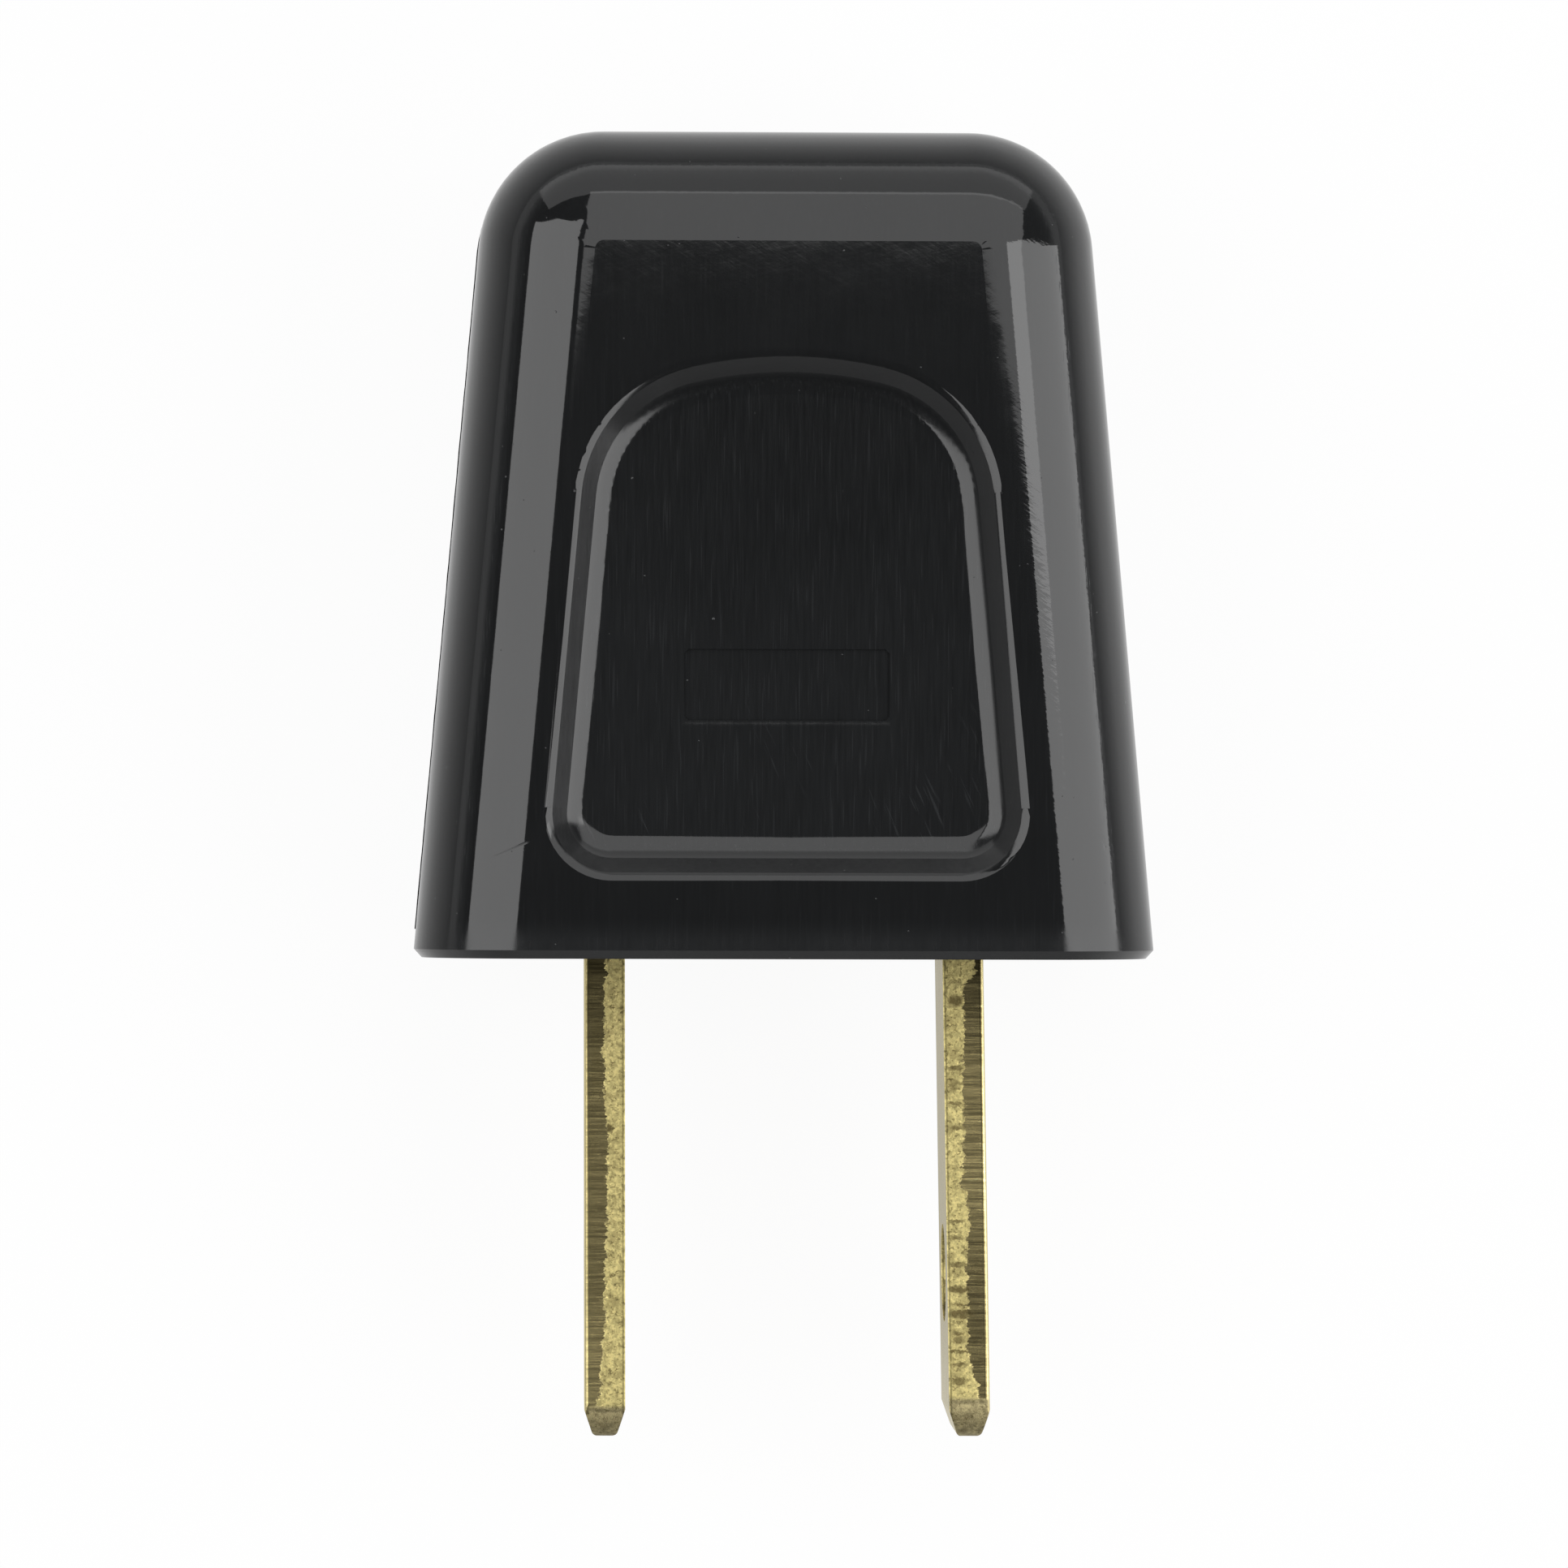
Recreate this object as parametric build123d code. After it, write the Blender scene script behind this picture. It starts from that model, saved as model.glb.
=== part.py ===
from build123d import *
from math import cos, radians, sin, tan
import os

# Two-pin straight blade plug with a slide-out core and screw terminals.
# The origin is the centre of the blade face, midway between the blades.
# +X runs across the body, -Y along the blades, and +Z out of the front face.
# Sizes are in millimetres and angles in degrees.

# Body outside
body_length = 29.27
body_width = 26.34
body_top_width = 21.11
body_thickness = 15.0
edge_round = 4.12
plan_corner_margin = 0.38
rim_bevel = 0.3
side_draft = 1.0

# Body inside
side_wall = 1.7
face_wall = 2.3
top_wall = 2.4
cavity_corner_bevel = 1.9
cavity_bevel = 1.6

# Finger recess in the front and back faces, measured at its sharp mouth
recess_low = 2.9
recess_top_margin = 8.1
recess_side_land = 0.03
recess_crown_radius = 15.0
recess_low_corner_radius = 2.2
recess_high_corner_radius = 5.1
recess_depth = 0.95
recess_wall_angle = 45.0
recess_lip_round = 0.4
recess_floor_round = 1.1

# Bare marking plate sunk in the front recess
plate_width = 7.2
plate_height = 2.5
plate_centre = 9.6
plate_corner_bevel = 0.15
plate_depth = 0.1

# Cord slot in the top
cord_slot_width = 8.6
cord_slot_height = 4.7
cord_slot_flare = 0.6

# Snap ridges that hold the core in the body
snap_length = 8.0
snap_radius = 0.9
snap_height = 0.3
snap_place = 1.5

# Blades
blade_spacing = 12.7
blade_width = 6.35
blade_thickness = 1.45
blade_reach = 17.0
blade_root_width = 8.4
blade_root_top = 15.0
blade_hole_radius = 1.75
blade_hole_place = 11.3
tip_corner_radius = 1.2
tip_taper_length = 1.0
tip_taper_depth = 0.32
tip_round = 0.24
rollover_round = 0.15
root_corner_radius = 0.6
right_blade_lean = 1.0
left_blade_lean = -0.2

# Terminals
terminal_place = 10.0
collar_radius = 2.5
collar_height = 1.0
screw_hole_radius = 1.75
screw_shank_radius = 1.7
screw_shank_length = 4.6
screw_head_radius = 3.1
screw_head_rim = 1.1
screw_crown_radius = 2.2
screw_head_height = 1.8
screw_slot_width = 1.0
screw_slot_depth = 0.9

# Core
core_clearance = 0.1
core_plate_thickness = 3.0
core_plate_edge = 0.25
core_top = 19.0
cheek_reach = 8.2
core_edge_round = 0.4
scoop_radius = 3.8
blade_play = 0.05
shoulder_play = 0.05
collar_play = 0.2
screw_relief_radius = 2.0
screw_relief_play = 0.4

# Stop ribs in the body, above the blade roots
stop_rib_reach = 3.0
stop_play = 0.1
rib_embed = 0.5

# Length that tools and blanks run past what they cut or are cut from
spare = 3.0

# Distance that tells a part's edges from those on its symmetry planes
tiny = 0.01

side_slope = (body_width - body_top_width) / 2 / body_length
side_stretch = (1 + side_slope**2) ** 0.5
plan_corner_radius = edge_round + plan_corner_margin
face_height = body_thickness / 2
cavity_height = face_height - face_wall
cavity_top = body_length - top_wall
recess_high = body_length - recess_top_margin

# How far the body's rounded edge reaches in from its outline, and the recess's lip out from its mouth
edge_reach = face_height * tan(radians(side_draft)) + edge_round * tan(radians(90 - side_draft) / 2)
lip_reach = recess_lip_round * tan(radians(90 - recess_wall_angle) / 2)
recess_inset = (edge_reach + lip_reach + recess_side_land) * side_stretch

blade_place = blade_spacing / 2
blade_inner = blade_place - blade_thickness / 2
blade_outer = blade_place + blade_thickness / 2
spine_reach = blade_inner - blade_play
pocket_height = blade_root_width / 2 + blade_play

# Plane across X in which the blades' outlines lie
side_on = Plane(origin=(0, 0, 0), x_dir=(0, 1, 0), z_dir=(1, 0, 0))


def block(x, y, z):
    """Box between the low and high value of each axis."""
    lows, highs = zip(x, y, z)
    sizes = [high - low for low, high in zip(lows, highs)]
    centre = [(low + high) / 2 for low, high in zip(lows, highs)]
    return Pos(*centre) * Box(*sizes)


def rod(radius, low, high, y, z=0.0):
    """Round bar along X between low and high."""
    return Pos((low + high) / 2, y, z) * Rot(0, 90, 0) * Cylinder(radius, high - low)


def plan_face(inset, top):
    """Outline from the front, moved in by inset, from below the blade face up to top."""
    low, high = [body_width / 2 - side_slope * y - inset for y in (-spare, top)]
    corners = [(-low, -spare), (low, -spare), (high, top), (-high, top)]
    return make_face(Polyline(*corners, close=True))


def top_corners(outline):
    """Corners of an outline at its top."""
    return outline.vertices().group_by(Axis.Y)[-1]


def quarter(form):
    """Left front quarter of a form that stands on the blade face."""
    return form & block((-body_width, 0), (0, 2 * body_length), (0, body_width))


def whole(part):
    """Left front quarter joined to its three mirror images."""
    half = part + mirror(part, Plane.YZ)
    return half + mirror(half, Plane.XY)


def front_edges(form):
    """Edges of a form's front face, apart from the one below the blade face."""
    return form.faces().sort_by(Axis.Z)[-1].edges().sort_by(Axis.Y)[1:]


def rim_edges(part):
    """Outer edges of a quarter at the blade face."""
    face = part.faces().sort_by(Axis.Y)[0]
    inner = face.edges().sort_by(Axis.X)[-1]
    parting = face.edges().sort_by(Axis.Z)[0]
    return [edge for edge in face.edges() if edge not in (inner, parting)]


def body_blank():
    """Outside of the body: drafted from the parting plane, its edges rounded at the front."""
    outline = plan_face(0.0, body_length)
    form = extrude(fillet(top_corners(outline), plan_corner_radius), face_height, taper=side_draft)
    blank = quarter(fillet(front_edges(form), edge_round))
    return chamfer(rim_edges(blank), rim_bevel)


def cavity(gap):
    """Space inside the body, made smaller all round by gap."""
    outline = plan_face(side_wall + gap, cavity_top - gap)
    form = extrude(chamfer(top_corners(outline), cavity_corner_bevel), cavity_height - gap, taper=side_draft)
    return quarter(chamfer(front_edges(form), cavity_bevel - gap))


def recess_half_width(y):
    """Half of the width of the recess's mouth at a height, were its corners sharp."""
    return body_width / 2 - recess_inset - side_slope * y


def recess_outline():
    """Mouth of the finger recess: sides that follow the body's sides, under a shallow crown."""
    crown_centre = recess_high - recess_crown_radius
    side_at_centre = recess_half_width(crown_centre)

    # Each side's line meets the crown's circle at this rise above the circle's centre
    a = side_stretch**2
    b = side_slope * side_at_centre
    c = side_at_centre**2 - recess_crown_radius**2
    rise = (b + (b * b - a * c) ** 0.5) / a
    shoulder_y = crown_centre + rise
    shoulder_x = recess_half_width(shoulder_y)

    low_x = recess_half_width(recess_low)
    left, right = (-shoulder_x, shoulder_y), (shoulder_x, shoulder_y)
    sides = Polyline(left, (-low_x, recess_low), (low_x, recess_low), right)
    crown = ThreePointArc(right, (0, recess_high), left)
    outline = make_face(sides + crown)
    outline = fillet(outline.vertices().sort_by(Axis.Y)[:2], recess_low_corner_radius)
    return fillet(outline.vertices().sort_by(Axis.Y)[-2:], recess_high_corner_radius)


def cut_recess(part):
    """Sinks the finger recess into the body's front and blends its floor and its lip."""
    mouth = Pos(0, 0, face_height) * recess_outline()
    part -= extrude(mouth, -recess_depth, taper=recess_wall_angle)
    floor = part.faces().filter_by(Plane.XY).sort_by(Axis.Z)[-2]
    part = fillet(floor.edges().sort_by(Axis.X)[:-1], recess_floor_round)
    return fillet(lip_edges(part), recess_lip_round)


def lip_edges(part):
    """Edges of the front face that bound the recess."""
    front = part.faces().sort_by(Axis.Z)[-1]
    reach = recess_half_width(0) + recess_lip_round
    near = front.edges().filter_by_position(Axis.X, -reach, -recess_lip_round)
    return near.filter_by_position(Axis.Y, recess_low - recess_lip_round, recess_high + recess_lip_round)


def cut_cord_slot(part):
    """Cuts the slot for a flat cord through the top wall, its outer end flared."""
    outline = Plane.XZ * SlotOverall(cord_slot_width, cord_slot_height)
    part -= Pos(0, cavity_top - spare, 0) * extrude(outline, -(top_wall + 2 * spare))
    lean = cord_slot_height * tan(radians(side_draft))
    mouth = part.edges().filter_by_position(Axis.Y, body_length - lean, body_length + lean)
    mouth = mouth.filter_by_position(Axis.X, -cord_slot_width / 2, -tiny)
    mouth = mouth.filter_by_position(Axis.Z, tiny, cord_slot_height / 2)
    return chamfer(mouth, cord_slot_flare)


def snap_bar(extra):
    """Half of the ridge across the mouth of the body's front wall, grown by extra."""
    centre = cavity_height + snap_radius - snap_height
    return rod(snap_radius + extra, -snap_length / 2 - extra, 0, snap_place, centre)


def stop_rib():
    """Rib that stands over the top of the left blade root and its cheek."""
    return block(
        (blade_play - blade_outer, -blade_play - blade_inner),
        (blade_root_top + stop_play, cavity_top + rib_embed),
        (stop_rib_reach, cavity_height + rib_embed),
    )


def marking_plate():
    """Bare plate sunk into the floor of the front recess."""
    outline = chamfer(Rectangle(plate_width, plate_height).vertices(), plate_corner_bevel)
    floor_height = face_height - recess_depth
    return extrude(Pos(0, plate_centre, floor_height) * outline, plate_depth, both=True)


def make_body():
    """Moulded outer body: one hollow piece, open at the blade face."""
    shell = cut_cord_slot(cut_recess(body_blank()) - cavity(0.0))
    return whole(shell + snap_bar(0.0) + stop_rib()) - marking_plate()


def core_pockets():
    """What the core gives up on the right side for a blade, its collar and its screw."""
    slot_height = blade_width / 2 + blade_play
    slot = block(
        (blade_inner - blade_play, blade_outer + blade_play),
        (-spare, core_plate_thickness + spare),
        (-slot_height, slot_height),
    )
    groove_height = collar_radius + collar_play
    groove_floor = blade_inner - collar_height - collar_play
    groove_top = (terminal_place, core_top + spare)
    groove = block((groove_floor, blade_place), groove_top, (-groove_height, groove_height))
    seat = rod(groove_height, groove_floor, blade_place, terminal_place)
    relief_floor = blade_outer - screw_shank_length - screw_relief_play
    relief = rod(screw_relief_radius, relief_floor, blade_place, terminal_place)
    return slot + groove + seat + relief


def make_core():
    """Moulded core: blade face plate, middle spine and the cheeks that flank each blade root."""
    height = cavity_height - core_clearance
    plate = cavity(core_clearance) & block((-body_width, 0), (0, core_plate_thickness), (0, height))
    plate = whole(chamfer(rim_edges(plate), core_plate_edge))

    spine = block((-spine_reach, spine_reach), (core_plate_thickness / 2, core_top), (-height, height))
    spine = fillet(spine.edges().filter_by(Axis.Y), core_edge_round)
    cheek = block((-cheek_reach, 0), (core_plate_thickness / 2, blade_root_top), (pocket_height, height))
    core = plate + spine + whole(cheek)

    scoop = Pos(0, core_top, 0) * Cylinder(scoop_radius, body_thickness)
    pockets = core_pockets()
    return core - scoop - pockets - mirror(pockets, Plane.YZ) - whole(snap_bar(core_clearance))


def blade_side_view(lean):
    """Right blade seen along Z: a straight root, and a reach that leans out by lean."""
    turn = radians(lean)
    along = Vector(sin(turn), -cos(turn))
    out = Vector(cos(turn), sin(turn))
    heel = Vector(blade_outer, 0)
    inner_heel = Vector(blade_inner, -blade_thickness * tan(turn / 2))
    shoulder = heel + along * (blade_reach - tip_taper_length)
    end = heel + along * blade_reach
    outline = Polyline(
        heel,
        shoulder,
        end - out * tip_taper_depth,
        end - out * (blade_thickness - tip_taper_depth),
        shoulder - out * blade_thickness,
        inner_heel,
        (blade_inner, blade_root_top),
        (blade_outer, blade_root_top),
        close=True,
    )
    side = make_face(outline)
    return fillet(side.vertices().sort_by(Axis.Y)[:2], tip_round)


def upright(low, high, width):
    """Rectangle in the blade's own plane, between two heights and as wide as given."""
    return Pos((low + high) / 2, 0) * Rectangle(high - low, width)


def make_reach(strip):
    """Reach of a blade, its long outer edges rolled over by the blanking and its tip corners round."""
    top = blade_root_top / 2
    reach = strip & extrude(side_on * upright(-blade_reach - spare, top, blade_width), blade_spacing)
    long_edges = reach.edges().filter_by_position(Axis.Y, tip_corner_radius - blade_reach, top - tiny)
    outer = long_edges.filter_by_position(Axis.X, blade_place, blade_spacing).group_by(Axis.Z)
    reach = fillet(outer[0] + outer[-1], rollover_round)
    outline = upright(-blade_reach, top, blade_width)
    outline = fillet(outline.vertices().group_by(Axis.X)[0], tip_corner_radius)
    return reach & extrude(side_on * outline, blade_spacing)


def make_root(strip):
    """Root of a blade, wider than the reach, so that its shoulders stand on the core's plate."""
    outline = upright(core_plate_thickness + shoulder_play, blade_root_top, blade_root_width)
    outline = fillet(outline.vertices(), root_corner_radius)
    return strip & extrude(side_on * outline, blade_spacing)


def make_blade(lean):
    """Right blade, stamped from one strip, with its tapped collar drawn inwards."""
    strip = extrude(blade_side_view(lean), blade_root_width, both=True)
    collar = rod(collar_radius, blade_inner - collar_height, blade_place, terminal_place)
    blade = make_root(strip) + make_reach(strip) + collar
    blade -= rod(blade_hole_radius, 0, blade_spacing, -blade_hole_place)
    return blade - rod(screw_hole_radius, 0, blade_spacing, terminal_place)


def make_screw():
    """Right binding-head terminal screw, driven inwards from the side into the blade."""
    on_top = (Align.CENTER, Align.CENTER, Align.MIN)
    below = (Align.CENTER, Align.CENTER, Align.MAX)
    shank = Cylinder(screw_shank_radius, screw_shank_length, align=below)
    rim = Cylinder(screw_head_radius, screw_head_rim, align=on_top)
    crown = Cone(screw_head_radius, screw_crown_radius, screw_head_height - screw_head_rim, align=on_top)
    head = rim + Pos(0, 0, screw_head_rim) * crown
    slot_floor = screw_head_height - screw_slot_depth
    slot = block(
        (-screw_head_radius, screw_head_radius),
        (-screw_slot_width / 2, screw_slot_width / 2),
        (slot_floor, screw_head_height + spare),
    )
    return Pos(blade_outer, terminal_place, 0) * Rot(0, 90, 0) * (shank + head - slot)


os.makedirs("parts", exist_ok=True)
right_screw = make_screw()
pieces = {
    "body": make_body(),
    "core": make_core(),
    "right_blade": make_blade(right_blade_lean),
    "left_blade": mirror(make_blade(left_blade_lean), Plane.YZ),
    "right_terminal_screw": right_screw,
    "left_terminal_screw": mirror(right_screw, Plane.YZ),
}
for name, piece in pieces.items():
    export_step(piece, f"parts/{name}.step")
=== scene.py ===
import random
from math import pi, radians, tan

import bpy
from mathutils import Matrix, Vector
from mathutils.geometry import convex_hull_2d


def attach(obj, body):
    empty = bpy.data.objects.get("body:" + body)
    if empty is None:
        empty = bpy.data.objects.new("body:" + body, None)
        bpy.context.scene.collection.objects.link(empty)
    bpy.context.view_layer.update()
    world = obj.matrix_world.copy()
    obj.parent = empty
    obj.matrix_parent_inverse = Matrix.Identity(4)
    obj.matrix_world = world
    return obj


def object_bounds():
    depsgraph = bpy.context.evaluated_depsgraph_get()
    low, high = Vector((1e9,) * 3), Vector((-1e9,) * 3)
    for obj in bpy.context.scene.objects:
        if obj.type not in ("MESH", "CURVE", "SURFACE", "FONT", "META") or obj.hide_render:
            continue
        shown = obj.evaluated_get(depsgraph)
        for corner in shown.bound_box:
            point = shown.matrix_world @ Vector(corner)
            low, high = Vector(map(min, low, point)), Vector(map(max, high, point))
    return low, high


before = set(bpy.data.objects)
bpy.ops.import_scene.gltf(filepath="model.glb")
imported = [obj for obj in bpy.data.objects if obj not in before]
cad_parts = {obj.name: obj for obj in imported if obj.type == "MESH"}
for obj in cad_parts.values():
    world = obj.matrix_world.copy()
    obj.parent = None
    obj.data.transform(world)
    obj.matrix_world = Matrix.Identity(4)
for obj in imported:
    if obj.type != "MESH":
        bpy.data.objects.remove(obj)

CAD_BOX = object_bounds()

# Camera, in millimetres in the frame: it looks down on the front face from left of the centre line. The
# picture's width is in pixels, and the scale in pixels to the millimetre.
PICTURE_WIDTH = 1932
SENSOR_WIDTH = 36.0
EYE = Vector((-7.5, 4.2, 300.0))
AIM = Vector((0.073, 6.17, 0.0))
SCALE_AT_AIM = 34.43
CAMERA_ROLL = radians(0.145)

# Studio lights, in metres and degrees. Each faces the place "about" on the object, from the direction
# "compass", turned from +X, and at "tilt" from straight up. "across" is its level side and "along" the other,
# and "shift" slides it sideways.
LIGHT_DISTANCE = 0.6
SOFTBOXES = {
    "left_softbox": {
        "about": (-0.0095, 0.0, 0.006), "compass": 180, "tilt": 41.25,
        "across": 0.57, "along": 0.566, "shift": -0.045, "radiance": 2.45,
    },
    "right_softbox": {
        "about": (0.0095, 0.0, 0.006), "compass": 0, "tilt": 56.25,
        "across": 0.57, "along": 0.672, "shift": -0.135, "radiance": 2.75,
    },
    "top_softbox": {
        "about": (0.0, 0.0265, 0.006), "compass": 90, "tilt": 29.2,
        "across": 0.72, "along": 0.56, "shift": -0.226, "radiance": 1.4,
    },
    "back_panel": {
        "about": (0.0, 0.0265, 0.006), "compass": 90, "tilt": 69.2,
        "across": 1.2, "along": 0.37, "shift": 0.0, "radiance": 0.78,
    },
}

# Room: its dim light, and the pale rim and fainter haze that the gloss sees round the horizon
ROOM_LIGHT = 0.055
HORIZON_LIGHT = 0.36
HORIZON_HAZE = 0.09

# Floor, in metres: how white it is in the picture, and the pool of light round the object that the gloss
# sees, dimmer beneath the object itself
FLOOR_SIZE = 3.0
FLOOR_WHITE = 0.94
POOL_CENTRE = (0.0, 0.012, 0.0)
POOL_EDGE_LEVEL = 0.30
POOL_SPREAD = 0.0185
POOL_TILT = 0.0045
POOL_BRIGHTEST = 0.86
POOL_BENEATH = 0.6
OBJECT_MIDDLE = (0.0, 0.006)
OBJECT_HALF_SIZE = (0.0135, 0.0235)

# Sizes of the body that its finish follows, in millimetres. Its sides and the recess's draw in by SIDE_TAPER
# for each millimetre above TAPER_FROM, where the half width of the recess is measured.
FACE_HEIGHT = 7.5
RECESS_FLOOR = 6.55
RECESS_HALF_WIDTH = 8.75
RECESS_FOOT, RECESS_TOP = 2.45, 21.7
SIDE_TAPER = 0.072
TAPER_FROM = 5.0
PLATE_MIDDLE = 9.6
PLATE_HALF_WIDTH, PLATE_HALF_HEIGHT, PLATE_SOFT = 3.85, 1.50, 0.3

# Where the finish changes, in millimetres: heights of the front, and on the right how far out and how high up
# the ribs begin
FRONT_HEIGHT = (6.2, 6.9)
RIBBED_FROM = (8.8, 9.3)
RIBBED_ABOVE = (5.0, 6.2)

# Scratch across the left reflection: its two ends and half its width, in millimetres
FACE_SCRATCH = ((-10.3, 3.55), (-9.1, 4.05), 0.05)

# Flash on the body's parting line, in metres: where it starts above the rim, how far it keeps from the middle
# of the cord slot, its step, half height, root and reach, and how much of its reach it keeps at each step
FLASH_SEED = 11
FLASH_START = 0.00075
FLASH_CLEAR_OF_SLOT = 0.0053
FLASH_STEP = 0.00022
FLASH_HALF_HEIGHT = 0.000015
FLASH_ROOT = 0.00003
FLASH_REACH = {"left": (0.000028, 0.00005), "right": (0.000004, 0.000014)}
FLASH_STEADINESS = 0.6
ON_PARTING_PLANE = 1e-6
ON_RIM = 1e-5

# Brass of the blades, as linear colours
BRASS_TORN = (0.90, 0.77, 0.33, 1.0)
BRASS_BURNISHED = (0.72, 0.60, 0.28, 1.0)
BRASS_FACE = (0.90, 0.78, 0.42, 1.0)
BRASS_STAIN = (0.24, 0.19, 0.08, 1.0)
BRASS_TIP = (0.86, 0.74, 0.40, 1.0)

# Sizes of the blades, in millimetres, and the lines along their edges by depth from the outer side
BLADE_OUTER = 7.075
BLADE_LENGTH = 17.0
ROLLOVER = (0.10, 0.06)
DARK_LINE = (0.10, 0.17)
BROWN_LINE = (1.345, 1.405)
PALE_RIM = (1.405, 1.43)

# Marks on the blades' edges, in millimetres: distance from the body, depth from the outer side, half sizes
# along those two, and then strength
LEFT_MARKS = [
    (6.05, 0.93, 0.13, 0.10, 0.85),
    (8.47, 0.99, 0.05, 0.04, 0.60),
]
RIGHT_MARKS = [
    (1.52, 1.02, 0.17, 0.26, 0.75),
    (3.90, 1.05, 0.08, 0.28, 0.65),
    (4.50, 1.12, 0.22, 0.16, 0.50),
    (5.16, 1.05, 0.07, 0.30, 0.55),
    (6.02, 1.05, 0.07, 0.28, 0.60),
    (9.33, 1.12, 0.07, 0.25, 0.60),
    (9.90, 1.10, 0.07, 0.24, 0.60),
    (10.85, 1.05, 0.09, 0.30, 0.65),
    (11.74, 1.05, 0.12, 0.36, 0.75),
    (12.26, 1.05, 0.07, 0.27, 0.55),
    (12.60, 0.98, 0.14, 0.40, 0.90),
    (13.29, 1.10, 0.08, 0.24, 0.60),
    (13.53, 1.08, 0.13, 0.22, 0.70),
    (13.93, 1.05, 0.05, 0.36, 0.65),
    (14.39, 1.05, 0.07, 0.28, 0.60),
    (14.99, 1.10, 0.15, 0.26, 0.60),
]

# Ring mark on the right blade's edge, in the same measures
RING_PLACE = (1.195, 1.057)
RING_HALF_SIZE = (0.37, 0.29)

# How each blade leans and how its edge looks. The depth of the burnished zone in millimetres, its tone and
# the torn zone's tone below run from the body at 0 to the tip at 1, and "torn_level" multiplies the last.
# Both tones are partly the brass's own and partly painted shade, darker towards the body. The key ending in
# "_from" is how far from the body the tip turns duller and is darkened as painted shade for its rounding, in
# millimetres.
BLADES = {
    "left_blade": {
        "side": -1, "lean": tan(radians(-0.2)), "torn_level": 0.63, "striation": 0.62, "dull_and_shaded_tip_from": 15.9,
        "burnished_depth": [
            (0.0, 0.78), (0.16, 0.70), (0.27, 0.73), (0.34, 0.81), (0.55, 0.85), (0.62, 0.75), (0.78, 0.71),
            (0.90, 0.58), (0.93, 0.50),
        ],
        "burnished_tone_and_shade": [
            (0.0, 0.28), (0.11, 0.22), (0.25, 0.48), (0.45, 0.60), (0.65, 0.64), (0.80, 0.86), (0.90, 0.96),
        ],
        "marks": LEFT_MARKS,
    },
    "right_blade": {
        "side": 1, "lean": tan(radians(1.0)), "torn_level": 0.68, "striation": 0.85, "dull_and_shaded_tip_from": 15.6,
        "burnished_depth": [
            (0.0, 0.30), (0.035, 0.38), (0.05, 0.60), (0.075, 0.77), (0.11, 0.69), (0.21, 0.77), (0.44, 0.81),
            (0.47, 0.92), (0.49, 0.76), (0.555, 0.66), (0.60, 0.75), (0.83, 0.72), (0.87, 0.58), (0.89, 0.36),
        ],
        "burnished_tone_and_shade": [
            (0.0, 0.24), (0.10, 0.34), (0.25, 0.74), (0.45, 1.02), (0.60, 0.62), (0.80, 0.62), (0.90, 0.62),
        ],
        "marks": RIGHT_MARKS,
    },
}
# Torn zone's tone from the body to the tip, partly its own and partly painted shade, darker towards the body
TORN_TONE_AND_SHADE = [(0.0, 0.78), (0.05, 0.88), (0.15, 0.96), (0.75, 1.04), (0.9, 1.04), (0.96, 0.86)]


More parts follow.
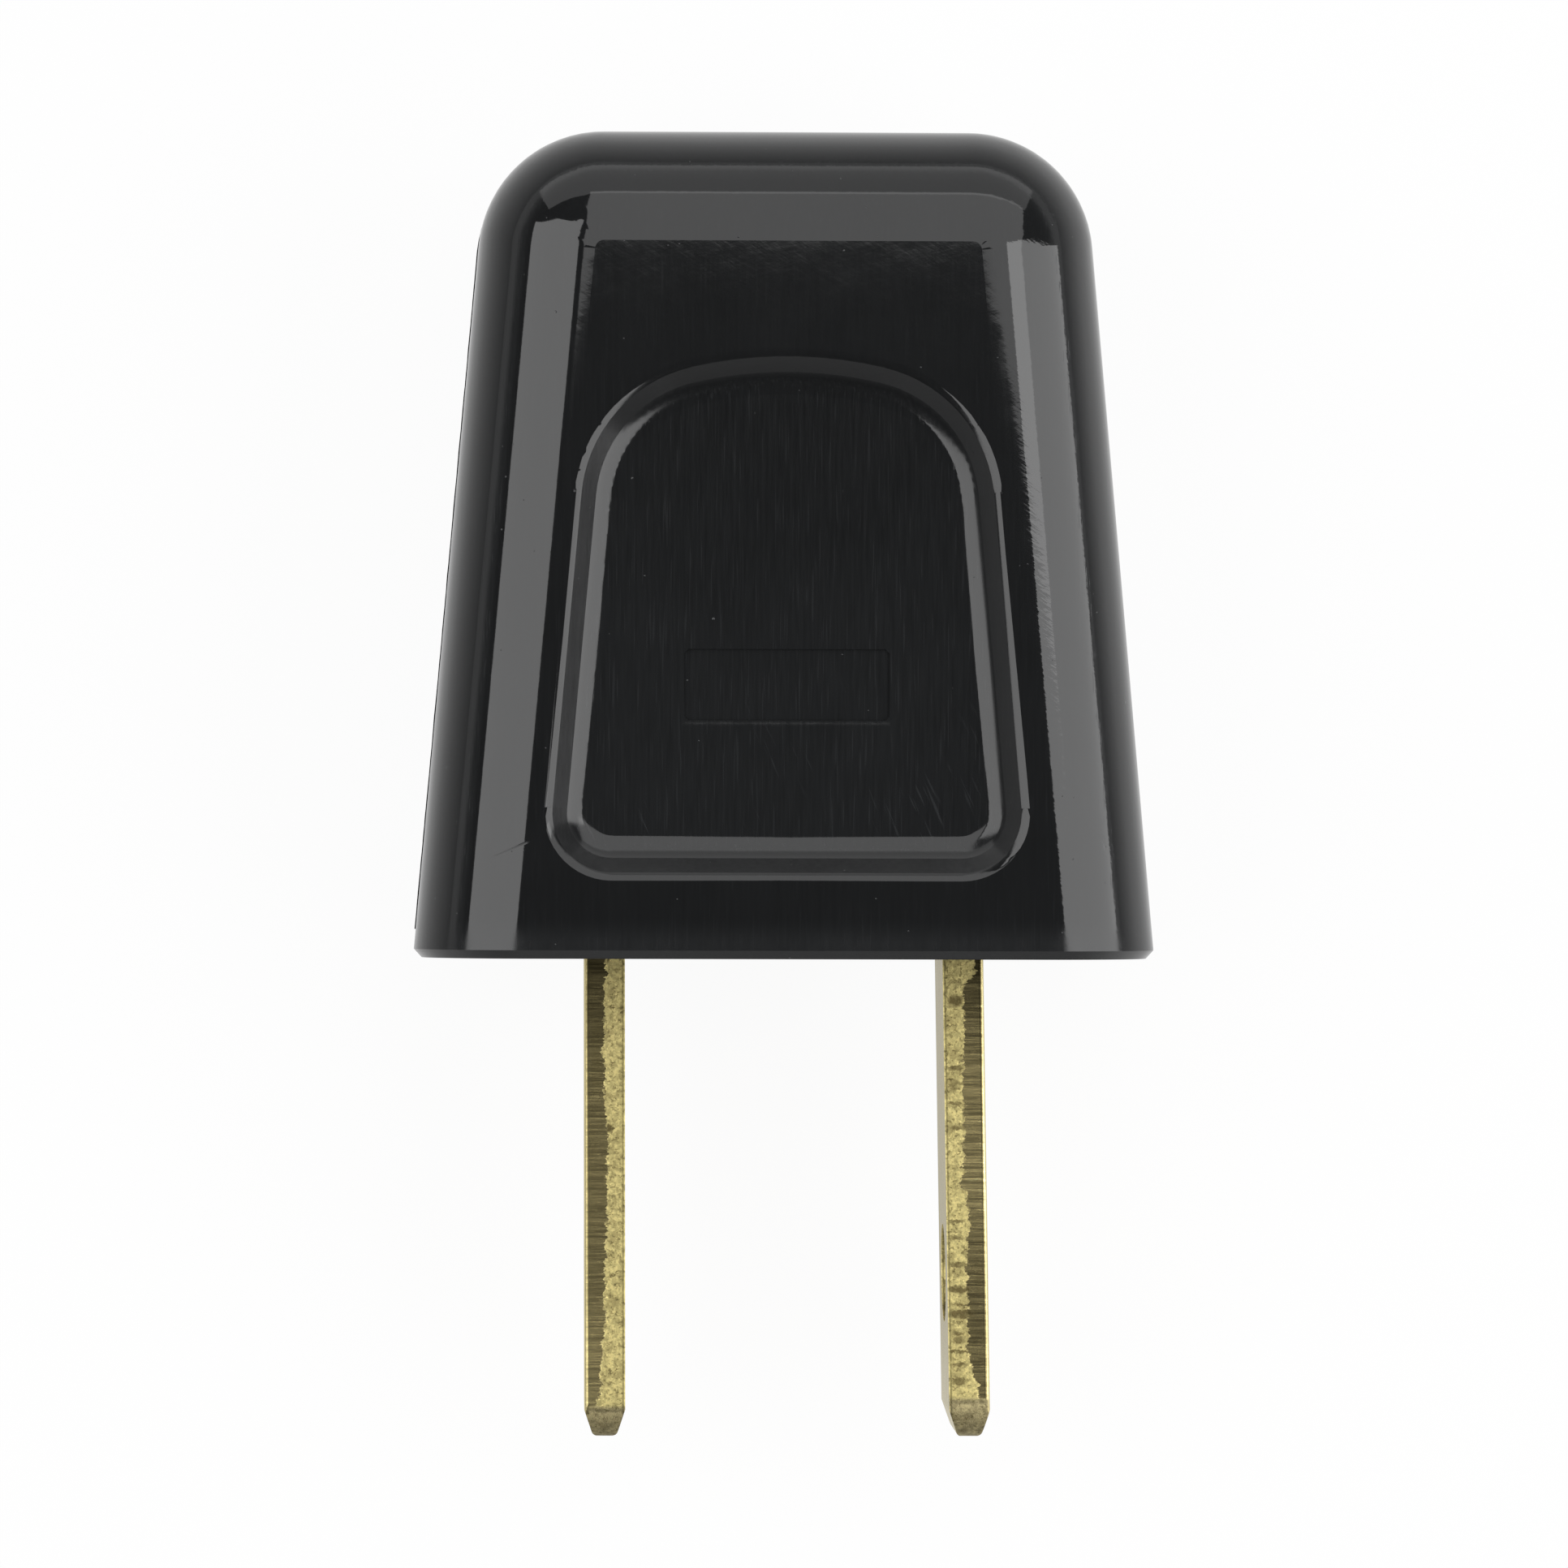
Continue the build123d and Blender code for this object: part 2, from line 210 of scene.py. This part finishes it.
class Wire:
    """A shader socket that takes part in Python expressions."""

    def __init__(self, socket):
        self.socket = socket

    def node(self, kind, settings=None, inputs=None, output=0):
        """Adds a node to this tree: settings first, then the values or links of its sockets."""
        return add_node(self.socket.id_data, kind, settings, inputs, output)

    def maths(self, operation, *values):
        """Result of one step of maths on values or wires."""
        return self.node("ShaderNodeMath", {"operation": operation}, dict(enumerate(values)))

    def __add__(self, other):
        return self.maths("ADD", self, other)

    def __sub__(self, other):
        return self.maths("SUBTRACT", self, other)

    def __rsub__(self, other):
        return self.maths("SUBTRACT", other, self)

    def __mul__(self, other):
        return self.maths("MULTIPLY", self, other)

    def __truediv__(self, other):
        return self.maths("DIVIDE", self, other)

    def __rtruediv__(self, other):
        return self.maths("DIVIDE", other, self)

    def __abs__(self):
        return self.maths("ABSOLUTE", self)

    __radd__ = __add__
    __rmul__ = __mul__

    def smallest(self, other):
        """The smaller of this and another value."""
        return self.maths("MINIMUM", self, other)

    def largest(self, other):
        """The larger of this and another value."""
        return self.maths("MAXIMUM", self, other)

    def rise(self, low, high):
        """Smooth step from 0 at low to 1 at high, whichever of them is the larger."""
        settings = {"interpolation_type": "SMOOTHSTEP"}
        return self.node("ShaderNodeMapRange", settings, {"Value": self, "From Min": low, "From Max": high})

    def band(self, low, high, soft):
        """1 between low and high, falling to 0 over soft on either side."""
        return self.rise(low - soft, low + soft) * self.rise(high + soft, high - soft)

    def blend(self, low, high):
        """Colour between low and high, by this factor."""
        settings = {"data_type": "RGBA"}
        return self.node("ShaderNodeMix", settings, {"Factor": self, 6: low, 7: high}, output=2)

    def ramp(self, stops):
        """Colour or grey level along stops, each a place from 0 to 1 and its value."""
        stops = [(place, value if isinstance(value, tuple) else grey(value)) for place, value in stops]
        return self.node("ShaderNodeValToRGB", {"stops": stops}, {"Fac": self})

    def turned(self, degrees, stretch):
        """This position turned about Z and then scaled along each axis."""
        inputs = {"Vector": self, "Rotation": (0, 0, radians(degrees))}
        spun = self.node("ShaderNodeMapping", inputs=inputs)
        return spun.node("ShaderNodeVectorMath", {"operation": "MULTIPLY"}, {0: spun, 1: stretch})

    def axes(self):
        """The three coordinates of this position."""
        split = self.node("ShaderNodeSeparateXYZ", inputs={"Vector": self})
        return [Wire(output) for output in split.socket.node.outputs]

    def noise(self, scale, detail=2.0, roughness=0.5):
        """Noise from 0 to 1 over this position."""
        inputs = {"Vector": self, "Scale": scale, "Detail": detail, "Roughness": roughness}
        return self.node("ShaderNodeTexNoise", inputs=inputs)

    def length(self):
        """Length of this vector."""
        return self.node("ShaderNodeVectorMath", {"operation": "LENGTH"}, {0: self}, output="Value")

    def scaled(self, factor):
        """This vector or colour times a factor."""
        settings = {"operation": "SCALE"}
        return self.node("ShaderNodeVectorMath", settings, {0: self, "Scale": factor})

    def oval(self, centre, half):
        """Distance from a centre, measured in half sizes, so that it is 1 on the rim of an oval."""
        offset = self.node("ShaderNodeVectorMath", {"operation": "SUBTRACT"}, {0: self, 1: (*centre, 0)})
        shrink = (1 / half[0], 1 / half[1], 0)
        return offset.node("ShaderNodeVectorMath", {"operation": "MULTIPLY"}, {0: offset, 1: shrink}).length()

    def specks(self, scale, size, share):
        """Round specks of a size, scattered over a share of the cells of this position."""
        cells = self.node("ShaderNodeTexVoronoi", inputs={"Vector": self, "Scale": scale})
        distance, colour = (Wire(cells.socket.node.outputs[title]) for title in ("Distance", "Color"))
        pick = colour.axes()[0]
        return distance.rise(size, size * 0.4) * pick.rise(share, share * 0.9)


def add_node(tree, kind, settings=None, inputs=None, output=0):
    """Adds a node: settings first, then the values or links of its sockets."""
    node = tree.nodes.new(kind)
    for name, value in (settings or {}).items():
        if name == "stops":
            lay_stops(node.color_ramp.elements, value)
        else:
            setattr(node, name, value)
    for name, value in (inputs or {}).items():
        if isinstance(value, Wire):
            tree.links.new(value.socket, node.inputs[name])
        else:
            node.inputs[name].default_value = value
    return Wire(node.outputs[output]) if node.outputs else node


def lay_stops(elements, stops):
    """Gives a ramp its stops, in their order along it."""
    for place, colour in stops[1:-1]:
        elements.new(place)
    for element, (place, colour) in zip(elements, stops):
        element.position = place
        element.color = colour


def grey(level):
    """Opaque grey of a level."""
    return (level, level, level, 1.0)


def tinted(level, green, blue):
    """Near-neutral dark colour of a level, by how many times its red the green and the blue are."""
    return level.node("ShaderNodeCombineXYZ", inputs={0: level, 1: level * green, 2: level * blue})


class Finish:
    """A material with one Principled shader, filled in input by input."""

    def __init__(self, name, **inputs):
        self.material = bpy.data.materials.new(name)
        self.material.use_nodes = True
        self.tree = self.material.node_tree
        self.tree.nodes.clear()
        self.shader = add_node(self.tree, "ShaderNodeBsdfPrincipled")
        self.output = self.shader.node("ShaderNodeOutputMaterial", inputs={"Surface": self.shader})
        self.paint(**inputs)

    def paint(self, **inputs):
        """Sets the shader's inputs to values or to wires."""
        for title, value in inputs.items():
            socket = self.shader.socket.node.inputs[title.replace("_", " ")]
            if isinstance(value, Wire):
                self.tree.links.new(value.socket, socket)
            else:
                socket.default_value = value

    def place(self):
        """Place on the object, in millimetres in the frame."""
        return add_node(self.tree, "ShaderNodeTexCoord", output="Object").scaled(1000.0)

    def facing(self):
        """Direction of the true surface, as three coordinates."""
        return add_node(self.tree, "ShaderNodeNewGeometry", output="True Normal").axes()

    def relief(self, height):
        """Bumps the surface by a height in millimetres."""
        bump = height.node("ShaderNodeBump", inputs={"Height": height, "Distance": 0.001, "Strength": 1.0})
        self.paint(Normal=bump)


def make_camera():
    """Camera at the photograph's viewpoint."""
    data = bpy.data.cameras.new("camera")
    data.sensor_width = SENSOR_WIDTH
    data.lens = SENSOR_WIDTH * SCALE_AT_AIM * (EYE - AIM).length / PICTURE_WIDTH
    data.clip_start = 0.01
    camera = bpy.data.objects.new("camera", data)
    bpy.context.collection.objects.link(camera)
    back = (EYE - AIM).normalized()
    right = Vector((0, 1, 0)).cross(back).normalized()
    turn = Matrix((right, back.cross(right), back)).transposed().to_4x4()
    camera.matrix_world = Matrix.Translation(EYE / 1000) @ turn @ Matrix.Rotation(CAMERA_ROLL, 4, "Z")
    bpy.context.scene.camera = camera


def make_softbox(name, about, compass, tilt, across, along, shift, radiance):
    """Rectangular light that faces a place on the object."""
    data = bpy.data.lights.new(name, "AREA")
    data.shape = "RECTANGLE"
    data.size = across
    data.size_y = along
    data.energy = radiance * across * along * pi
    light = bpy.data.objects.new(name, data)
    bpy.context.collection.objects.link(light)
    aim = Matrix.Rotation(radians(compass), 4, "Z") @ Matrix.Rotation(radians(tilt), 4, "Y")
    sideways = Matrix.Translation((0, shift, LIGHT_DISTANCE)) @ Matrix.Rotation(radians(90), 4, "Z")
    light.matrix_world = Matrix.Translation(about) @ aim @ sideways


def floor_finish():
    """White floor that keeps a soft shadow and shows in the gloss as a pool of light."""
    finish = Finish("floor_white", Base_Color=grey(0.85), Roughness=0.9)
    rays = add_node(finish.tree, "ShaderNodeLightPath").socket.node.outputs
    camera, glossy = Wire(rays["Is Camera Ray"]), Wire(rays["Is Glossy Ray"])
    metres = add_node(finish.tree, "ShaderNodeTexCoord", output="Object")
    away = metres.node("ShaderNodeVectorMath", {"operation": "SUBTRACT"}, {0: metres, 1: POOL_CENTRE})
    reach = away.length().largest(0.001)
    x = away.axes()[0]
    pool = (POOL_EDGE_LEVEL + (POOL_SPREAD + POOL_TILT * x / reach) / reach).smallest(POOL_BRIGHTEST)
    beside = metres.oval(OBJECT_MIDDLE, OBJECT_HALF_SIZE).rise(0.85, 1.3)
    pool = pool * (POOL_BENEATH + (1 - POOL_BENEATH) * beside)
    level = camera + (1 - camera) * pool
    glow = level.node("ShaderNodeEmission", inputs={"Color": level, "Strength": 1.0})
    share = camera * FLOOR_WHITE + glossy
    mixed = share.node("ShaderNodeMixShader", inputs={0: share, 1: finish.shader, 2: glow})
    finish.tree.links.new(mixed.socket, finish.output.inputs["Surface"])
    return finish.material


def make_world():
    """White to the camera, dim to the object, with a pale rim round the horizon for the gloss."""
    world = bpy.data.worlds.new("room")
    world.use_nodes = True
    bpy.context.scene.world = world
    tree = world.node_tree
    rays = add_node(tree, "ShaderNodeLightPath").socket.node.outputs
    camera, glossy = Wire(rays["Is Camera Ray"]), Wire(rays["Is Glossy Ray"])
    height = add_node(tree, "ShaderNodeTexCoord", output="Generated").axes()[2]
    rim = HORIZON_LIGHT * height.rise(0.21, 0.09) + HORIZON_HAZE * height.rise(0.42, 0.16)
    level = camera + (1 - camera) * (ROOM_LIGHT + glossy * rim)
    tree.links.new(level.socket, tree.nodes["Background"].inputs["Color"])


def make_room():
    """White floor, dim surroundings and the studio lights."""
    bpy.ops.mesh.primitive_plane_add(size=FLOOR_SIZE, location=(0, 0, CAD_BOX[0][2]))
    floor = bpy.context.object
    floor.name = "floor"
    floor.data.materials.append(floor_finish())
    make_world()
    for name, shape in SOFTBOXES.items():
        make_softbox(name, **shape)


def flash_outline():
    """Both sides of the body's outline at its parting plane, right first, in even steps clear of the slot."""
    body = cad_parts["body"].data
    points = [vertex.co.to_2d() for vertex in body.vertices if abs(vertex.co.z) < ON_PARTING_PLANE]
    hull = [points[i] for i in convex_hull_2d(points)]
    corner = min(range(len(hull)), key=lambda i: (hull[i].y > ON_RIM, -hull[i].x))
    ring = hull[corner:] + hull[:corner]
    if ring[1].y < ON_RIM:
        ring = [ring[0]] + ring[:0:-1]
    steps = []
    for start, end in zip(ring, ring[1:]):
        count = max(1, round((end - start).length / FLASH_STEP))
        steps += [start.lerp(end, i / count) for i in range(count)]
    steps = [point for point in steps if point.y > FLASH_START]
    return [[point for point in steps if side * point.x > FLASH_CLEAR_OF_SLOT] for side in (1, -1)]


def make_flash(finish):
    """Thin fin of moulded flash along the body's parting line, of uneven reach and cleaner on the right."""
    chance = random.Random(FLASH_SEED)
    vertices, faces = [], []
    for outline in flash_outline():
        start = len(vertices)
        reach = 0.0
        for i, point in enumerate(outline):
            along = outline[min(i + 1, len(outline) - 1)] - outline[max(i - 1, 0)]
            outwards = Vector((along.y, -along.x)).normalized()
            low, high = FLASH_REACH["left" if point.x < 0 else "right"]
            reach = FLASH_STEADINESS * (reach or low) + (1 - FLASH_STEADINESS) * chance.uniform(low, high)
            tip = point + outwards * reach
            tip.x = min(max(tip.x, CAD_BOX[0][0]), CAD_BOX[1][0])
            tip.y = min(tip.y, CAD_BOX[1][1])
            root = point - outwards * FLASH_ROOT
            for corner, level in ((root, 1), (tip, 1), (tip, -1), (root, -1)):
                vertices.append((corner.x, corner.y, level * FLASH_HALF_HEIGHT))
        last = len(vertices) - 4
        for first in range(start, last, 4):
            for j in range(4):
                k = (j + 1) % 4
                faces.append((first + j, first + k, first + 4 + k, first + 4 + j))
        faces += [(start + 3, start + 2, start + 1, start), (last, last + 1, last + 2, last + 3)]
    mesh = bpy.data.meshes.new("parting_line")
    mesh.from_pydata(vertices, [], faces)
    mesh.materials.append(finish)
    piece = bpy.data.objects.new("parting_line", mesh)
    bpy.context.collection.objects.link(piece)
    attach(piece, "root")


def scratch(x, y, start, end, width):
    """A thin straight scratch between two places on the face, which fades out at both ends."""
    run = Vector(end) - Vector(start)
    run_x, run_y = run.normalized()
    along = (x - start[0]) * run_x + (y - start[1]) * run_y
    aside = (y - start[1]) * run_x - (x - start[0]) * run_y
    return along.band(0, run.length, run.length / 5) * abs(aside).rise(width, width * 0.3)


def gloss_black():
    """Body's glossy black plastic: rub marks, streaks in the recess, dust, a rim with haze and painted sheen
    over a painted shadow line, and a slightly wavy skin.
    """
    finish = Finish("gloss_black", IOR=1.55)
    place = finish.place()
    x, y, z = place.axes()

    # Fine lines that run up the recess, and short slanting rub marks low down in it
    streaks = place.turned(0, (1.0, 0.05, 1.0)).noise(9.0, 3.0, 0.6)
    lines = place.turned(0, (1.0, 0.03, 1.0)).noise(16.0, 1.0, 0.5).rise(0.60, 0.74)
    slanted = place.turned(-24, (1.0, 0.07, 1.0)).noise(7.0, 2.0, 0.5).rise(0.62, 0.72)
    slanted = slanted * place.turned(-24, (1.0, 0.5, 1.0)).noise(0.7).rise(0.48, 0.62)
    in_recess = z.band(RECESS_FLOOR - 0.2, RECESS_FLOOR + 0.15, 0.05)
    on_front = z.rise(*FRONT_HEIGHT)
    low_down = y.rise(11.0, 5.0)
    upper_middle = y.rise(9.0, 17.0) * abs(x).rise(9.0, 2.0)
    cloud = place.noise(0.35, 3.0)
    dust = (place.specks(1.1, 0.06, 0.22) + place.specks(2.6, 0.07, 0.1)).smallest(1.0)

    # Haze along the rim in short streaks, partly painted sheen, down to a last line of painted shadow
    rim_streaks = place.turned(0, (1.0, 0.25, 1.0)).noise(5.0, 3.0, 0.6)
    rim_haze_and_sheen = y.rise(1.5, 0.5) * (0.55 + 0.9 * rim_streaks)
    clear_of_rim_shadow = y.rise(0.02, 0.05)
    level = 0.0058 + 0.0024 * cloud + (0.0085 * streaks + 0.0060 * lines) * (0.40 + 0.60 * in_recess)
    level = level - 0.0022 * upper_middle * in_recess + 0.012 * slanted * low_down * in_recess
    # The rim's haze lightens the colour as painted sheen, and its last line is darkened as painted shadow
    level = (level + 0.0046 * rim_haze_and_sheen * on_front + 0.022 * dust) * (0.35 + 0.65 * clear_of_rim_shadow)
    finish.paint(Base_Color=tinted(level, 1.05, 1.10))
    mark = scratch(x, y, *FACE_SCRATCH)

    # The recess's walls and lip are duller than the flat face
    draw_in = SIDE_TAPER * (y - TAPER_FROM)
    within = (abs(x) + draw_in).rise(RECESS_HALF_WIDTH, RECESS_HALF_WIDTH - 0.15)
    within = within * y.band(RECESS_FOOT, RECESS_TOP, 0.1)
    dull_walls = within * z.rise(FACE_HEIGHT - 0.005, FACE_HEIGHT - 0.06)
    dull_walls = dull_walls * z.rise(RECESS_FLOOR + 0.005, RECESS_FLOOR + 0.08)
    roughness = 0.03 + 0.05 * streaks * (0.3 + 0.7 * in_recess) + 0.02 * cloud + 0.1 * rim_haze_and_sheen + 0.3 * mark
    finish.paint(Roughness=roughness + dull_walls * (0.10 + 0.06 * streaks))

    # Waves and tiny ribs that break the edges of the reflections, more so on the right
    waves = place.noise(0.65, 2.0) * 0.0026
    right = (x + draw_in).rise(*RIBBED_FROM) * z.rise(*RIBBED_ABOVE)
    ribs = place.turned(35, (0.4, 1.6, 0.4)).noise(2.9, 2.5, 0.6) * (0.0004 + 0.0024 * right)
    fine = place.turned(-15, (0.3, 1.0, 0.3)).noise(7.0, 2.0, 0.6) * (0.0002 + 0.0004 * right)
    plate = abs(x).rise(PLATE_HALF_WIDTH, PLATE_HALF_WIDTH - PLATE_SOFT)
    plate = plate * abs(y - PLATE_MIDDLE).rise(PLATE_HALF_HEIGHT, PLATE_HALF_HEIGHT - PLATE_SOFT) * in_recess
    height = waves + ribs + fine + 0.0006 * (streaks + lines) * in_recess + 0.008 * dust
    finish.relief(height - 0.004 * mark - 0.008 * plate)
    return finish.material


def satin_black():
    """Core's moulded black plastic, a little duller than the body."""
    finish = Finish("satin_black", IOR=1.5)
    place = finish.place()
    grain = place.noise(4.0, 4.0, 0.6)
    cloud = place.noise(0.4, 3.0)
    level = 0.012 + 0.006 * cloud + 0.003 * grain
    finish.paint(Base_Color=tinted(level, 1.0, 1.06), Roughness=0.28 + 0.12 * grain)
    finish.relief(grain * 0.004)
    return finish.material


def edge_stains(spot, base, marks, ringed):
    """Brown stains on a blade's edge: an all-over share, the single marks, and the ring mark on one blade."""
    stained = base
    for at, deep, half_height, half_depth, strength in marks:
        mark = spot.oval((at, deep), (half_height, half_depth)).rise(1.6, 0.6)
        stained = stained.largest(strength * mark)
    if ringed:
        stained = stained.largest(0.5 * spot.oval(RING_PLACE, RING_HALF_SIZE).band(0.90, 1.08, 0.1))
    return stained


def blade_brass(name, side, lean, burnished_depth, burnished_tone_and_shade, torn_level, striation, marks, dull_and_shaded_tip_from):
    """Stamped brass: bright rolled faces, and blanked edges with a burnished and a torn zone, with painted
    shade and highlights.
    """
    finish = Finish(name, Metallic=1.0)
    place = finish.place()
    x, y = place.axes()[:2]
    normal_x = finish.facing()[0]
    on_edge = abs(normal_x).rise(0.75, 0.45)
    depth = BLADE_OUTER - y * lean - x * side
    down = y * -1
    run = down / BLADE_LENGTH
    dull_and_shaded_tip = down.rise(dull_and_shaded_tip_from - 0.08, dull_and_shaded_tip_from + 0.12)

    # Burnished zone, with fine lines across it, as far in as its ragged edge
    ragged = (place.turned(0, (0.5, 1.0, 1.0)).noise(3.0, 5.0, 0.75) - 0.5) * 0.75
    past = depth - (run.ramp(burnished_depth) + ragged)
    torn = past.rise(-0.012, 0.02).largest(dull_and_shaded_tip)
    across = place.turned(0, (0.05, 1.0, 0.05))
    broad_lines = across.noise(7.0, 2.0, 0.6).rise(0.36, 0.64)
    fine_lines = across.noise(15.0).rise(0.36, 0.64)
    lines = 0.6 * broad_lines + 0.4 * fine_lines - 0.5
    pale_lines = across.noise(5.5, 4.0, 0.85).rise(0.58, 0.66)
    scuffs = place.turned(0, (0.5, 1.0, 1.0)).noise(9.0, 3.0, 0.7).rise(0.56, 0.7)
    edge_glints = past.band(-0.02, 0.03, 0.02) * place.noise(4.5, 2.0).rise(0.5, 0.62) * (1 - dull_and_shaded_tip)
    flecks = place.specks(8.0, 0.3, 0.45) * past.band(-0.12, 0.16, 0.08) * (1 - dull_and_shaded_tip)

    # Torn zone, speckled, with a brown line and a pale rim along its far side
    grain = place.noise(5.0, 5.0, 0.8).rise(0.36, 0.64)
    pits = place.noise(6.0, 4.0, 0.75).rise(0.53, 0.61)
    blotch = place.noise(1.8, 4.0, 0.7).rise(0.48, 0.62)
    wander = place.noise(5.5, 4.0, 0.75) - 0.5
    waver = place.turned(50, (1.3, 1.3, 1.3)).noise(5.5, 4.0, 0.75) - 0.5
    wavered = {0: down + waver * 0.34, 1: depth + wander * 0.5, 2: 0.0}
    spot = wander.node("ShaderNodeCombineXYZ", inputs=wavered)
    brown_line = (depth + 0.06 * wander).band(*BROWN_LINE, 0.015)
    pale_rim = depth.rise(*PALE_RIM)
    # Rolled-over strip along the outer side; its lightening in the tone below is a painted highlight
    rollover_and_highlight = depth.rise(*ROLLOVER)
    dark_line = depth.band(*DARK_LINE, 0.02)
    stained = edge_stains(spot, (0.30 * blotch + 0.42 * pits) * torn, marks, ringed=side > 0)
    stained = (stained * (0.75 + 1.1 * grain)).smallest(1.0)

    # Tone and hue of both zones together, with the duller tip over them, darkened as painted shade
    # The tone ramps darken the edge towards the body as painted shade
    smooth = run.ramp(burnished_tone_and_shade) * (1 + striation * lines + 0.34 * scuffs)
    smooth = smooth + 0.55 * striation * pale_lines
    rough = run.ramp(TORN_TONE_AND_SHADE) * torn_level * (0.74 + 0.48 * grain)
    edge_tone = smooth + torn * (rough - smooth)
    # Painted highlight on the rolled-over strip and painted glints along the zones' border, with flecks and a
    # pale rim
    edge_tone = edge_tone + 0.2 * rollover_and_highlight + 0.45 * edge_glints + 0.35 * flecks + 0.28 * pale_rim
    edge_tone = edge_tone * (1 - 0.6 * dark_line * (1 - dull_and_shaded_tip)) * (1 - 0.4 * brown_line)
    edge_hue = dull_and_shaded_tip.blend(torn.blend(BRASS_BURNISHED, BRASS_TORN), BRASS_TIP)
    edge_hue = stained.blend(edge_hue, BRASS_STAIN)
    # The tip is darkened as painted shade for its rounding, most in a band where the edge turns into it
    edge_tone = edge_tone * (1 - 0.13 * dull_and_shaded_tip - 0.25 * down.band(dull_and_shaded_tip_from, dull_and_shaded_tip_from + 0.2, 0.06))

    # Rolled faces, with faint marks along the strip, duller with handling
    rolled = place.turned(0, (1.0, 0.06, 1.0)).noise(6.0, 3.0, 0.6)
    handled = place.noise(0.5, 3.0, 0.6)
    face_tone = 0.93 + 0.1 * rolled - 0.12 * handled
    brass = {0: BRASS_FACE[:3], "Scale": face_tone}
    face_colour = face_tone.node("ShaderNodeVectorMath", {"operation": "SCALE"}, brass)
    finish.paint(Base_Color=on_edge.blend(face_colour, edge_hue.scaled(edge_tone)))

    # The torn zone is rougher and lower than the rest of the edge
    edge_roughness = 0.26 + 0.22 * torn + 0.12 * rollover_and_highlight + 0.12 * stained + 0.1 * dull_and_shaded_tip
    face_roughness = 0.17 + 0.1 * rolled + 0.08 * handled
    finish.paint(Roughness=face_roughness + on_edge * (edge_roughness - face_roughness))
    edge_relief = torn * (grain * 0.010 - 0.012 - 0.006 * pits) + lines * 0.002 * (1 - torn)
    finish.relief(on_edge * edge_relief + 0.0008 * rolled)
    return finish.material


def zinc():
    """Zinc-plated steel of the terminal screws."""
    finish = Finish("zinc", Metallic=1.0)
    place = finish.place()
    cloud = place.noise(2.0, 3.0)
    finish.paint(Base_Color=cloud.blend((0.52, 0.53, 0.55, 1), (0.70, 0.70, 0.68, 1)))
    finish.paint(Roughness=0.22 + 0.16 * cloud)
    finish.relief(place.noise(9.0, 3.0) * 0.003)
    return finish.material


def dress(node, material):
    """Gives a piece of the frame its one material."""
    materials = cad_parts[node].data.materials
    materials.clear()
    materials.append(material)


make_camera()
make_room()
body_finish = gloss_black()
dress("body", body_finish)
make_flash(body_finish)
dress("core", satin_black())
for blade, traits in BLADES.items():
    dress(blade, blade_brass(blade + "_brass", **traits))
for screw in ("left_terminal_screw", "right_terminal_screw"):
    dress(screw, zinc())

bpy.context.scene.view_settings.view_transform = "Standard"
